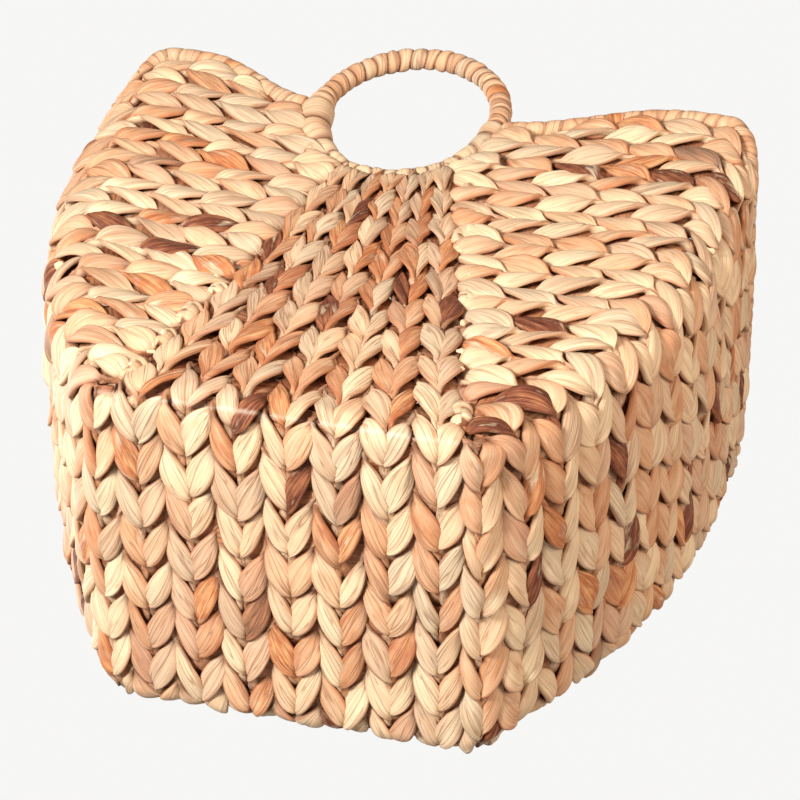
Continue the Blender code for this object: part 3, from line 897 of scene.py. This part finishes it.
# %% [markdown]
# ## The handles and the fold under them
#
# The arch of each ring is wound with turns of uneven width, and the last three, at the left, are thicker.
# Under the rim the same ring carries a fold of leaf over the ends of the centre courses, which is fattest at
# its two ends. Both are wound rods along the ring's own ellipse.

# %% Wind the handles and the ring under them
PATH_POINTS = 400
HANDLE_LEAF_RADIUS, HANDLE_RADIUS_SPREAD, HANDLE_END_GROWTH = 0.0066, 0.0004, (0.0006, 0.0012, 0.0016)
HANDLE_BULGE, FOLD_BULGE = 0.0021, 0.0014
HANDLE_LAP, FOLD_LAP = 0.10, 0.02
FOLD_RADII = [0.0112, 0.0102, 0.0080] + [0.0056, 0.0050, 0.0056] * 3 + [0.0064, 0.0078, 0.0088]
FOLD_TONES = (0.1, 0.55)


def ring_path(first, last, sign):
    """Middle line of a handle ring between two angles. sign is -1 at the front and 1 at the back."""
    angles = np.linspace(first, last, PATH_POINTS)
    return np.stack([
        RING_OFFSET + RING_HALF_WIDTH * np.cos(angles),
        sign * (HALF_DEPTH - ring_depth) + 0 * angles,
        ring_centre_height + RING_HALF_HEIGHT * np.sin(angles),
    ], axis=1)


rim_angle = np.arcsin((HANDLE_RIM_HEIGHT + CLEARANCE - ring_centre_height) / RING_HALF_HEIGHT)
for sign, wall in ((-1, "front"), (1, "back")):
    dice = np.random.default_rng(700 + sign)
    arch = ring_path(rim_angle - HANDLE_LAP, np.pi - rim_angle + HANDLE_LAP, sign)
    outward = (0.0, float(sign), 0.0)
    turns = WRAP_TURNS + 2
    widths = dice.uniform(0.8, 1.2, turns)
    radii = HANDLE_LEAF_RADIUS + dice.uniform(-HANDLE_RADIUS_SPREAD, HANDLE_RADIUS_SPREAD, turns)
    radii[-3:] += HANDLE_END_GROWTH
    name = f"{wall}_handle_leaf"
    mesh = wound_mesh(name, arch, outward, widths, radii, HANDLE_BULGE, 0.8, dice, rusty=(0.2,))
    add_piece(name, mesh, wrap_leaf, [f"{wall}_handle_wrap"])

    under = ring_path(np.pi - rim_angle - FOLD_LAP, 2 * np.pi + rim_angle + FOLD_LAP, sign)
    widths = np.concatenate([(2.6, 2.2, 1.5), dice.uniform(0.6, 1.3, 9), dice.uniform(1.2, 1.9, 3)])
    name = f"{wall}_ring_fold_leaf"
    mesh = wound_mesh(name, under, outward, widths, FOLD_RADII, FOLD_BULGE, 0.3, dice, FOLD_TONES)
    add_piece(name, mesh, course_leaf)
print("2 handles and 2 ring folds")

# %% [markdown]
# ## The rim
#
# A wider strip is wound round the rim wire from handle to handle. Its turns swell at the ears, and ride a
# little higher all round the corner.

# %% Bind the rim
BINDING_TURN = 0.0125
RIM_LEAF_RADIUS, RIM_LEAF_DEPTH, RIM_BULGE = 0.0062, 0.0062, 0.0009
RIM_LEAF_LIFT, EAR_LEAF_LIFT = 0.0014, 0.0034
EAR_LEAF_GROWTH, EAR_LEAF_STATION = 0.0018, 1.15
TURN_WIDTHS = (0.7, 1.3)

for side, label in SIDES:
    dice = np.random.default_rng(800 + side)
    station = np.linspace(0, BACK_FAN, 700)
    near = np.minimum(station, BACK_FAN - station)
    lift = RIM_LEAF_LIFT + EAR_LEAF_LIFT * ease(1.1 * near - 0.15) * ease(SIDE_MIDDLE - near)
    line = wall_line(station, rim_height(station) - BINDING_RADIUS + lift, side, RIM_LEAF_DEPTH)
    lengths = lengths_along(line)
    turns = int(lengths[-1] / BINDING_TURN)
    at = np.interp(np.linspace(0, lengths[-1], turns), lengths, near)
    radii = RIM_LEAF_RADIUS + EAR_LEAF_GROWTH * ease(1 - np.abs(at - EAR_LEAF_STATION) / 0.5)
    widths = dice.uniform(*TURN_WIDTHS, turns)
    name, up = f"{label}_rim_leaf", (0.0, 0.0, 1.0)
    mesh = wound_mesh(name, line, up, widths, radii, RIM_BULGE, 0.9, dice, rusty=(0.13, 0.8), seam_shade=0.6)
    add_piece(name, mesh, wrap_leaf, [f"{label}_rim_binding"])
    print(f"{name}: {turns} turns")

# %% [markdown]
# ## The tucked ends of the side courses
#
# Beside the fan, the end of a side course is turned over and tucked in, which leaves a short roll across it.
# About half of them show. Each is a wound rod of two turns, and those of one edge are one piece.

# %% Tuck in the ends of the side courses
CUFF_DEPTH, CUFF_TURNS, CUFF_BULGE = 0.0052, 2, 0.0016
CUFF_RADIUS, CUFF_RADIUS_SPREAD = 0.0056, 0.0008
CUFF_TONES, HIDDEN_CUFFS = (0.1, 0.6), 0.45

for side, label in SIDES:
    for wall, fan_station in (("front", 0.045), ("back", 5.955)):
        together = bmesh.new()
        for course in range(1, SIDE_COURSES - 1):
            dice = np.random.default_rng(1000 + 100 * course + 10 * side + int(fan_station))
            if dice.random() < HIDDEN_CUFFS:
                continue
            share = np.linspace(dice.uniform(0.0, 0.3), dice.uniform(0.6, 1.0), 40)
            low = course_edge(course - 1, np.array([fan_station]))
            high = course_edge(course, np.array([fan_station]))
            tilt = dice.uniform(-0.06, 0.12) * (1 if fan_station < SIDE_MIDDLE else -1)
            line = wall_line(fan_station + tilt * share, low + (high - low) * share, side, CUFF_DEPTH)
            radii = CUFF_RADIUS + dice.uniform(-CUFF_RADIUS_SPREAD, CUFF_RADIUS_SPREAD, CUFF_TURNS)
            widths = dice.uniform(*TURN_WIDTHS, CUFF_TURNS)
            back_to_front = (0.0, 1.0, 0.0)
            mesh = wound_mesh("cuff", line, back_to_front, widths, radii, CUFF_BULGE, 0.5, dice, CUFF_TONES)
            together.from_mesh(mesh)
            bpy.data.meshes.remove(mesh)
        cuffs = as_mesh(f"{label}_{wall}_cuffs", together)
        add_piece(cuffs.name, cuffs, course_leaf)
        print(f"{cuffs.name}: {len(cuffs.polygons)} faces")

# %% [markdown]
# ## Bits of pith
#
# Where a strand was cut, its pale pith curls out in crumbs. They sit along the edges of the fan and at the
# corners. Each is a small ball pulled out of shape by random numbers, and all of them are one piece a side.

# %% Scatter the pith
BITS_A_SIDE, BIT_RADIUS = 12, 0.0026
CORNER_STATION = 1.5
PITH_TONE = (0.2, 0.5, 0.4)


def pith_mesh(name, side, dice):
    """Small crumpled balls along the fan's edges on the front and back and round the corners."""
    crumbs = bmesh.new()
    for index in range(BITS_A_SIDE):
        place = dice.choice([0.0, CORNER_STATION], p=[0.7, 0.3]) + dice.uniform(-0.03, 0.10)
        station = np.array([place if index % 2 else BACK_FAN - place])
        centre = wall_line(station, dice.uniform(0.01, 0.28), side, dice.uniform(-0.0008, 0.0012))[0]
        made = bmesh.ops.create_icosphere(crumbs, subdivisions=2, radius=BIT_RADIUS)["verts"]
        stretch = Vector(dice.uniform(0.35, 1.6, 3))
        waves, size = Vector(dice.uniform(-3, 3, 3)), dice.uniform(0.5, 1.1)
        for vert in made:
            swell = 1 + 0.35 * np.sin(1400 * vert.co.x + waves.x) * np.cos(1100 * vert.co.z + waves.y)
            vert.co = Vector(centre) + vert.co * stretch * (size * swell)
    mesh = as_mesh(name, crumbs)
    points = vertex_places(mesh)
    set_attributes(mesh, points * (0, 0, 1), np.tile(PITH_TONE, (len(points), 1)))
    return mesh


pith_leaf = leaf_finish("pith_leaf", -0.06)
for side, label in SIDES:
    mesh = pith_mesh(f"{label}_pith_bits", side, np.random.default_rng(1500 + side))
    add_piece(mesh.name, mesh, pith_leaf)
print(f"{2 * BITS_A_SIDE} bits of pith")

# %% [markdown]
# ## Cross stakes
#
# The ropes are twined round flat stakes of darker leaf that cross every course, and as they lie under the
# ropes they also get painted shade. Only short bits of them show, in the gaps under the tips of the V shapes,
# so each stake is a bar about as long as its course is wide. Long stakes through the whole wall could be made
# too, but no more of them would show.

# %% Lay the stakes
SIDE_STAKE, CENTRE_STAKE = 0.0157, 0.0126  # half widths
STAKE_THICKNESS, STAKE_OUT, STAKE_WAVE, STAKE_LAP = 0.0022, 0.0002, 0.0006, 1.02
STAKE_STAINS, STAIN_CHANCES = [0.0, 0.5, 1.0], [0.12, 0.55, 0.33]


def stakes_mesh(name, strips, half_width, dice):
    """Flat bars across the strips, one to a pitch."""
    bars = bmesh.new()
    places = []
    for strip in strips:
        for along in np.arange(-strip.phase * PITCH / np.pi, strip.length, PITCH):
            made = bmesh.ops.create_cube(bars, size=1)["verts"]
            edges = list({edge for vert in made for edge in vert.link_edges})
            cut = [edge for edge in edges if abs(edge.verts[0].co.y - edge.verts[1].co.y) > 0.5]
            bmesh.ops.subdivide_edges(bars, edges=cut, cuts=3)
            bars.verts.ensure_lookup_table()
            places.append((strip, along + dice.uniform(-0.001, 0.001), half_width * dice.uniform(0.96, 1.01)))
    mesh = as_mesh(name, bars)
    points = vertex_places(mesh)
    each = len(points) // len(places)
    leaf, lobe = points.copy(), np.empty_like(points)
    for index, (strip, along, half) in enumerate(places):
        mine = slice(index * each, (index + 1) * each)
        x, y, z = points[mine].T
        width = strip.width_at(np.array([along]))[0]
        out = z * STAKE_THICKNESS + STAKE_OUT + STAKE_WAVE * np.sin(9 * y + index)
        # The middle number is a fixed depth of 0.5, which paints shade on every stake, as it lies under the
        # ropes.
        leaf[mine] = np.stack([x * 1.6, 0 * z + 0.5, y * width + index * 1.3], axis=1)
        stake_tone, stain = dice.uniform(0.5, 1.0), dice.choice(STAKE_STAINS, p=STAIN_CHANCES)
        lobe[mine] = (stake_tone, stain, dice.uniform(0, 0.8))
        points[mine] = strip.bend(along + x * 2 * half, y * width * STAKE_LAP, out)
    place_vertices(mesh, points, leaf, lobe)
    return mesh


stake_leaf = leaf_finish("stake_leaf", 0.24)
side_strips = [[side_strip(course, side) for course in range(1, SIDE_COURSES + 1)] for side, _ in SIDES]
middle_strips = [centre_strip(index) for index in range(CENTRE_COURSES)]
middle_strips += [edge_strip(side) for side, _ in SIDES]
for label, strips, half, seed in (
    ("left", side_strips[0], SIDE_STAKE, 899),
    ("right", side_strips[1], SIDE_STAKE, 901),
    ("centre", middle_strips, CENTRE_STAKE, 950),
):
    mesh = stakes_mesh(f"{label}_stakes", strips, half, np.random.default_rng(seed))
    add_piece(mesh.name, mesh, stake_leaf)
    print(f"{mesh.name}: {len(mesh.polygons)} faces")

# %% [markdown]
# ## The wire frame
#
# The wires inside are plain round steel, and the CAD model has their full shape, so they aren't made again:
# the CAD nodes only get a slightly rubbed paint, near black as painted shade, so that a wire seen through a
# gap passes for the shade there.

# %% Paint the frame wires
wire_shade_finish = Finish("frame_wire_shade_paint")
rub = wire_shade_finish.noise(wire_shade_finish.node("ShaderNodeTexCoord", {}, {}, "Object"), 140.0, 4.0, 0.6)
wire_shade_finish.set(
    # Painted shade: the near-black colour lets a wire seen in a gap pass for the shade there.
    Base_Color=wire_shade_finish.ramp(rub, [(0.35, (0.05, 0.035, 0.03)), (0.75, (0.14, 0.09, 0.06))]),
    Roughness=0.45 + rub * 0.3,
)
wire_shade_finish.bump(rub, 0.3, 0.0004)
wires = [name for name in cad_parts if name.endswith(("_wire", "_ring", "_rib"))]
for name in wires:
    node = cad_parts[name]
    node.data.materials.clear()
    node.data.materials.append(wire_shade_finish.material)
print(f"{len(wires)} frame wires painted")

# %% [markdown]
# ## The camera
#
# The photograph looks up at the basket from below, tilted, with a long lens. The angles, distance and lens
# come from fitting the basket's outline, corners and hand hole to it, and the shift only moves the frame. The
# Standard view keeps the leaf as bright as in the photograph, where the default one would grey it.

# %% Camera
AZIMUTH, ELEVATION, ROLL = np.radians((21.3908, -51.0044, 25.3321))
DISTANCE, FOCAL_PIXELS, FRAME_PIXELS = 2.1535, 3323.0218, 800
TARGET = np.array((0.0, 0.0, 0.170))
SHIFT_PIXELS = (-38.8091, 18.9362)
SENSOR_WIDTH = 36

back = np.array((
    np.sin(AZIMUTH) * np.cos(ELEVATION),
    -np.cos(AZIMUTH) * np.cos(ELEVATION),
    np.sin(ELEVATION),
))
level = np.cross(-back, (0, 0, 1))
level /= np.linalg.norm(level)
upright = np.cross(level, -back)
camera_right = level * np.cos(ROLL) + upright * np.sin(ROLL)
camera_up = upright * np.cos(ROLL) - level * np.sin(ROLL)
camera_data = bpy.data.cameras.new("camera")
camera_data.sensor_width = SENSOR_WIDTH
camera_data.lens = FOCAL_PIXELS / FRAME_PIXELS * SENSOR_WIDTH
camera_data.shift_x = -SHIFT_PIXELS[0] / FRAME_PIXELS
camera_data.shift_y = SHIFT_PIXELS[1] / FRAME_PIXELS
camera = bpy.data.objects.new("camera", camera_data)
bpy.context.scene.collection.objects.link(camera)
turned = np.eye(4)
turned[:3, 0], turned[:3, 1], turned[:3, 2] = camera_right, camera_up, back
turned[:3, 3] = TARGET + DISTANCE * back
camera.matrix_world = Matrix(turned.tolist())
bpy.context.scene.camera = camera
bpy.context.scene.view_settings.view_transform = "Standard"
print(f"camera at {np.round(turned[:3, 3], 3)}")

# %% [markdown]
# ## The floor
#
# A pale sheet under the basket. The camera is below it, so it is clear from below and casts no shadow. One
# behind the basket would suit this camera and no other. A little glow keeps it pale from above.

# %% Floor
floor_shape = bmesh.new()
bmesh.ops.create_grid(floor_shape, x_segments=2, y_segments=2, size=3.0)
floor = bpy.data.objects.new("floor", as_mesh("floor", floor_shape))
bpy.context.scene.collection.objects.link(floor)
floor_finish = Finish("floor_finish")
floor_finish.set(Base_Color=(0.82, 0.81, 0.79, 1.0), Roughness=0.9)
floor_finish.set(Emission_Color=(1.0, 0.99, 0.97, 1.0), Emission_Strength=0.30)
from_below = floor_finish.node("ShaderNodeNewGeometry", {}, {}, "Backfacing")
clear = floor_finish.node("ShaderNodeBsdfTransparent", {}, {}, "BSDF")
pale = Wire(floor_finish, floor_finish.shader.outputs[0])
shown = floor_finish.node("ShaderNodeMixShader", {}, {0: from_below, 1: pale, 2: clear})
floor_finish.plug(floor_finish.nodes["Material Output"].inputs["Surface"], shown)
floor.data.materials.append(floor_finish.material)
floor.visible_shadow = False
floor.visible_diffuse = False
floor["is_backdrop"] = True
print("pale floor, clear from below")

# %% [markdown]
# ## The light
#
# Plain studio light: a faint, even light from all round, a soft key on one side of the camera, a wide warm
# fill on the other, and a soft light behind for the walls that this camera doesn't see. In place of the
# faint light, the camera sees a near-white backdrop.

# %% Light
world = bpy.data.worlds.new("studio")
world.use_nodes = True
nodes, links = world.node_tree.nodes, world.node_tree.links
faint, backdrop = nodes["Background"], nodes.new("ShaderNodeBackground")
for background, colour, strength in (
    (faint, (1.0, 0.985, 0.965, 1.0), 0.34),
    (backdrop, (1.0, 0.995, 0.985, 1.0), 0.93),
):
    background.inputs["Color"].default_value = colour
    background.inputs["Strength"].default_value = strength
seen = nodes.new("ShaderNodeLightPath")
choose = nodes.new("ShaderNodeMixShader")
links.new(seen.outputs["Is Camera Ray"], choose.inputs[0])
links.new(faint.outputs[0], choose.inputs[1])
links.new(backdrop.outputs[0], choose.inputs[2])
links.new(choose.outputs[0], nodes["World Output"].inputs["Surface"])
bpy.context.scene.world = world


def soft_light(name, place, size, watts, colour=(1.0, 1.0, 1.0)):
    """Square area light at a place, turned towards the basket's middle."""
    data = bpy.data.lights.new(name, "AREA")
    data.size, data.energy, data.color = size, watts, colour
    light = bpy.data.objects.new(name, data)
    bpy.context.scene.collection.objects.link(light)
    light.location = place
    light.visible_camera = False
    light.rotation_mode = "QUATERNION"
    light.rotation_quaternion = (Vector(place) - Vector(TARGET)).to_track_quat("Z", "Y")


def from_camera(right, up, near):
    """Place given from the basket's middle along the camera's own right, up and backward directions."""
    return tuple(TARGET + camera_right * right + camera_up * up + back * near)


soft_light("key", from_camera(-1.15, 0.42, 1.75), 0.5, 65)
soft_light("fill", from_camera(1.6, 0.2, 1.6), 1.0, 28, (1.0, 0.84, 0.70))
soft_light("back", (-1.8, 0.9, 1.2), 1.2, 30)
print("world and three lights")

# %% [markdown]
# ## The last cell
#
# The last cell prints the box that everything shown reaches, with the floor left out.

# %% Print how far the basket reaches
low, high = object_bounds()
print(f"the basket reaches from {tuple(low)} to {tuple(high)}")
